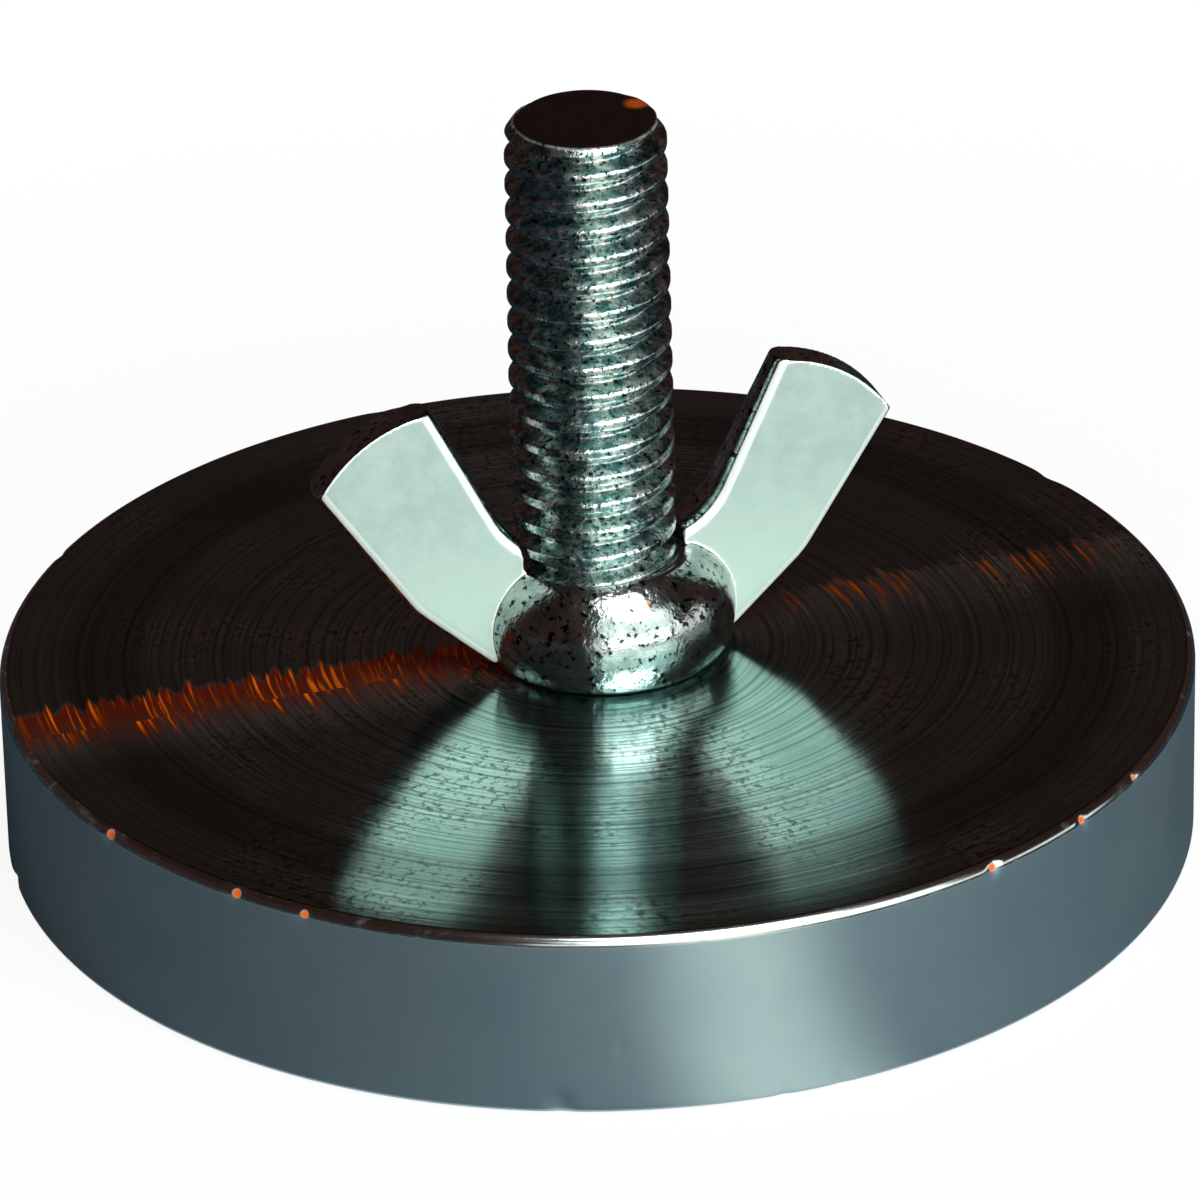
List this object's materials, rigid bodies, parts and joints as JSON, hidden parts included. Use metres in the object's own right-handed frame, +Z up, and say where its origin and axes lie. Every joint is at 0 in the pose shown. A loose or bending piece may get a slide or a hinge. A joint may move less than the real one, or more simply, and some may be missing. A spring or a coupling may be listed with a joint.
{
  "type": "magnetic base",
  "caption": "Round pot magnet base with an upright threaded stud and a wing nut, for holding a fixture to steel.",
  "frame": {"origin": "centre of the round underside, level with the cup's rim and the pole's face", "axes": "+Z up the stud, away from the magnetic face; the wing nut's wings lie along X at rest"},
  "size_m": [0.0572, 0.0572, 0.0369],
  "materials": {
    "cup_steel": "satin",
    "pole_steel": "satin",
    "ferrite": "matte",
    "potting_resin": "matte",
    "screw_zinc": "bright",
    "nut_zinc": "bright"
  },
  "bodies": {
    "base": {"steel_cup": "cup_steel", "centre_pole": "pole_steel", "ring_magnet": "ferrite", "potting_ring": "potting_resin"},
    "screw": {"stud_screw": "screw_zinc"},
    "wing_nut": {"wing_nut": "nut_zinc"}
  },
  "joints": [
    {"name": "screw_turn", "type": "hinge", "parent": "base", "child": "screw", "pos_m": [0, 0, 0], "axis": [0, 0, -1], "range_deg": [0, 7200]},
    {"name": "wing_nut_travel", "type": "slide", "parent": "base", "child": "wing_nut", "axis": [0, 0, 1], "range_m": [0, 0.02822]}
  ],
  "couplings": [
    {"joint": "wing_nut_travel", "follows": "screw_turn", "m_per_rad": 0.00022459}
  ]
}
